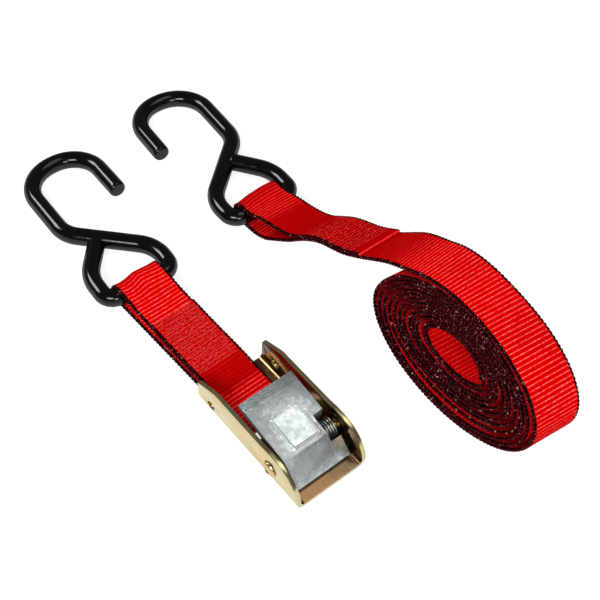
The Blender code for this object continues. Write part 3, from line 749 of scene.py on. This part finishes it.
def make_frame(mat, painted_shade_mat):
    """Stamped U channel: its bent section, cut to its side view, with a strap slot and two pairs of holes."""
    half, inner, top = FRAME_HALF, FRAME_HALF - PLATE, 24.0
    outline = fillet([(-half, top, 0), (-half, 0, BEND_R), (half, 0, BEND_R), (half, top, 0),
                      (inner, top, 0), (inner, PLATE, BEND_R - PLATE), (-inner, PLATE, BEND_R - PLATE),
                      (-inner, top, 0)])
    obj = prism("buckle_plate", outline, -FRAME_LENGTH - 1, 1, "yz")
    rear = -FRAME_LENGTH
    side = fillet([(rear, -1, 0), (rear, 13.5, 1.0), (-58.5, 18.8, 4.0), (-26.0, 19.4, 3.0),
                   (-20.5, 20.2, 4.0), (0.0, 19.4, 16.8), (0.0, -1, 0)], 90)
    combine(obj, prism("profile", side, -30, 30, "xz"), "INTERSECT")
    combine(obj, block("slot", (-44.0, -14.0, -3.0), (-36.5, 14.0, 5.0)), "DIFFERENCE")
    combine(obj, cylinder_y("rear_hole", -61.4, 6.3, 2.5, -30, 30, 40), "DIFFERENCE")
    combine(obj, cylinder_y("pin_hole", PIVOT[0], PIVOT[1], PIN_R + PIN_GAP, -30, 30, 40), "DIFFERENCE")
    finish_solid(obj, BUCKLE_MATRIX, mat, 0.22)
    # The inner faces of the channel get a dark brown copy of the zinc: painted shade, with its reddish-brown
    # cast a painted reflection of the red strap.
    obj.data.materials.append(painted_shade_mat)
    to_local = (BUCKLE_MATRIX @ Matrix.Scale(MM, 4)).inverted()
    for face in obj.data.polygons:
        middle = to_local @ face.center
        if abs(middle.y) < inner + 0.05 and middle.z > PLATE - 0.05:
            face.material_index = 1
    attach(obj, "buckle")
    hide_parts("buckle_frame")


def turned(name, profile, mat, sides=48):
    """Solid turned about the pivot, from (radius, y) points."""
    angle = 2 * np.pi * np.arange(sides) / sides
    rows = np.array([[(PIVOT[0] + r * math.cos(a), y, PIVOT[1] + r * math.sin(a)) for a in angle]
                     for r, y in profile])
    obj = grid_mesh(name, rows, mat)
    obj.data.transform(BUCKLE_MATRIX)
    obj.data.set_sharp_from_angle(angle=math.radians(40))
    return obj


def make_rivet(mat):
    under = FRAME_HALF + 0.25
    head = [(0.05, 0.95), (0.9, 0.92), (1.25, 0.78), (1.5, 0.78), (1.9, 1.18), (2.6, 1.12), (3.3, 0.85),
            (3.75, 0.45), (3.95, 0.0)]
    profile = [(r, -(under + h)) for r, h in head] + [(PIN_R, -under), (PIN_R, under)]
    profile += [(r, under + h) for r, h in reversed(head)]
    obj = turned("rivet", profile, mat)
    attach(obj, "buckle")
    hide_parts("pivot_rivet")


def lever_outline():
    """Side view of the lever from its pivot, in mm."""
    x, z = -27.6, 11.8
    points = [(x - 0.3, z - 2.5), (x - 0.15, z - 0.4)]
    for _ in range(6):
        points += [(x + 0.02, z - 0.08), (x + 0.10, z), (x + 0.38, z - 0.02), (x + 0.46, z - 0.10),
                   (x + 0.50, z - 0.85), (x + 0.80, z - 0.88)]
        x, z = x + 0.85, z - 0.045
    points.append((x + 0.1, z - 0.40))
    points += [(3.4, 6.75), (4.2, 6.52), (4.9, 6.15), (5.4, 5.6)]
    points += [(13.9, -3.3), (14.15, -3.8), (14.1, -4.5), (13.5, -5.2)]
    start, end = np.array((12.6, -5.95)), np.array((0.6, -6.35))
    for k in range(6):
        tip, root = start + (end - start) * k / 6, start + (end - start) * (k + 0.4) / 6
        points += [tuple(tip), (root[0], root[1] + 0.7)]
    points += [(6.0 * math.cos(a), 6.0 * math.sin(a)) for a in np.radians(np.linspace(-90, -165, 14))]
    points += [(-8.0, 3.0), (-12.0, 5.6)]
    return points


def make_lever(mat, pad_mat):
    """Die-cast cam lever with a pocket and an open mouth for its spring, and the raised pad on its top."""
    obj = prism("lever_casting", lever_outline(), -LEVER_HALF, LEVER_HALF, "xz")
    combine(obj, cylinder_y("bore", 0, 0, PIN_R + PIN_GAP, -30, 30, 40), "DIFFERENCE")
    combine(obj, cylinder_y("pocket", 0, 0, 6.2, POCKET_Y, 30, 56), "DIFFERENCE")
    combine(obj, block("mouth", (-5.6, POCKET_Y, 0.0), (7.4, 30.0, 14.0)), "DIFFERENCE")
    pivot = BUCKLE_MATRIX @ Matrix.Translation((PIVOT[0] * MM, 0.0, PIVOT[1] * MM))
    finish_solid(obj, pivot, mat, 0.06, limit=50.0)
    pad = raised_pad(pad_mat)
    pad_place = pivot @ Matrix.Translation(Vector((-5.75, -0.25, 8.16)) * MM)
    pad.data.transform(pad_place @ Matrix.Rotation(math.radians(TOP_SLOPE), 4, "Y"))
    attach(obj, "lever")
    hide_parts("cam_lever")
    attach(pad, "lever")


def raised_pad(mat):
    """Square pad on the lever with a bevelled frame round a slightly sunk face."""
    half_x, half_y = 8.75, 7.75
    rings = [(0.0, -0.9), (0.0, 0.12), (0.55, 0.62), (0.95, 0.62), (1.35, 0.34), (1.5, 0.34)]
    corners = fillet([(-half_x, -half_y, 1.1), (half_x, -half_y, 1.1), (half_x, half_y, 1.1),
                      (-half_x, half_y, 1.1)], 32)
    base = np.array([(p.x, p.y) for p in corners])
    rows = []
    for inset, height in rings:
        scale = np.array([(half_x - inset) / half_x, (half_y - inset) / half_y])
        rows.append(np.column_stack([base * scale, np.full(len(base), height)]))
    obj = grid_mesh("lever_pad", np.array(rows), mat)
    obj.data.set_sharp_from_angle(angle=math.radians(40))
    return obj


def make_spring(mat):
    """Torsion spring on the rivet, in the lever's pocket, with one leg on the lever and one on the frame."""
    turns, pitch, radius, wire = 4.5, 1.3, 4.6, 0.55
    start_y = POCKET_Y + 0.3 + wire
    points = [(4.6, start_y, 4.4), (2.6, start_y, 4.75)]
    steps = int(turns * 36)
    for k in range(steps + 1):
        t = turns * k / steps
        a = math.pi / 2 + 2 * math.pi * t
        points.append((radius * math.cos(a), start_y + pitch * t, radius * math.sin(a)))
    end_y = start_y + pitch * turns
    points += [(3.5, end_y, -5.2), (10.0, end_y, -5.9)]
    obj = grid_mesh("coil_spring", tube_rows(np.array(points), wire, 12), mat)
    obj.data.transform(BUCKLE_MATRIX @ Matrix.Translation((PIVOT[0] * MM, 0.0, PIVOT[1] * MM)))
    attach(obj, "buckle")
    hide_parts("torsion_spring")


# ---- studio -----------------------------------------------------------------------------------
def area_light(name, place, aim, size, power):
    light = bpy.data.lights.new(name, "AREA")
    light.shape, light.size, light.size_y = "RECTANGLE", size[0], size[1]
    light.energy = power
    obj = bpy.data.objects.new(name, light)
    bpy.context.scene.collection.objects.link(obj)
    obj.location = place
    obj.rotation_euler = (Vector(aim) - Vector(place)).to_track_quat("-Z", "Y").to_euler()


def make_studio():
    scene = bpy.context.scene
    world = bpy.data.worlds.new("studio")
    scene.world = world
    world.use_nodes = True
    background = world.node_tree.nodes["Background"]
    background.inputs["Color"].default_value = (1.0, 1.0, 1.0, 1.0)
    background.inputs["Strength"].default_value = 0.16
    scene.view_settings.view_transform = "Standard"
    area_light("overhead", (0.20, 0.32, 1.0), (0, 0, 0), (0.6, 0.7), 2.6)
    area_light("front", (0.45, -0.75, 0.75), (0, 0, 0), (0.5, 0.35), 8.0)
    area_light("left", (-0.80, -0.45, 0.75), (0, 0, 0), (0.5, 0.3), 7.0)
    area_light("right", (0.85, -0.40, 0.50), (0.06, 0.03, 0.03), (0.3, 0.3), 3.2)
    mesh = bpy.data.meshes.new("floor")
    size = 4.0
    corners = [(-size, -size, 0), (size, -size, 0), (size, size, 0), (-size, size, 0)]
    mesh.from_pydata(corners, [], [(0, 1, 2, 3)])
    paper = Shader("floor_paper", (0.40, 0.40, 0.40), 0.9, Specular_IOR_Level=0.0,
                   Emission_Strength=0.80, Emission_Color=(1.0, 1.0, 1.0, 1.0))
    link_mesh("floor", mesh, paper.mat)


# ---- all of it --------------------------------------------------------------------------------
def build():
    make_camera()
    make_studio()
    webbing, thread = webbing_material(), thread_material()
    vinyl = vinyl_material()
    zinc = zinc_material("yellow_zinc", (0.50, 0.48, 0.27), (0.52, 0.42, 0.21), (0.52, 0.27, 0.11),
                         (0.42, 0.45, 0.12))
    # Dark brown copy of the zinc for the frame's inner faces: painted shade and painted reflection of the red
    # strap.
    painted_shade_zinc = zinc_material("zinc_painted_inner_shade", (0.13, 0.085, 0.045), (0.20, 0.115, 0.055), (0.30, 0.13, 0.05),
                               (0.40, 0.40, 0.06))
    diecast = diecast_material("grey_diecast", (0.40, 0.43, 0.43), (0.62, 0.67, 0.67))
    make_frame(zinc, painted_shade_zinc)
    make_rivet(zinc)
    make_lever(diecast, diecast_material("bright_pad", (0.56, 0.62, 0.61), (0.74, 0.80, 0.79)))
    make_spring(steel_material("dark_wire", (0.30, 0.34, 0.30), 0.2))
    make_short_strap(webbing, thread)
    make_long_strap(webbing, thread, seal_material())
    make_hook("hook_a", "hook_a_coating", "hook_a", (-51.5, -56.3), -3.1, 1, vinyl)
    make_hook("hook_b", "hook_b_coating", "hook_b", (-55.5, 20.5), -5.6, -1, vinyl)
    rod = steel_material("rod_steel", (0.45, 0.45, 0.46), 0.35)
    for name in ("hook_a_rod", "hook_b_rod"):
        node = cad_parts[name]
        for slot in node.material_slots:
            slot.material = rod


build()
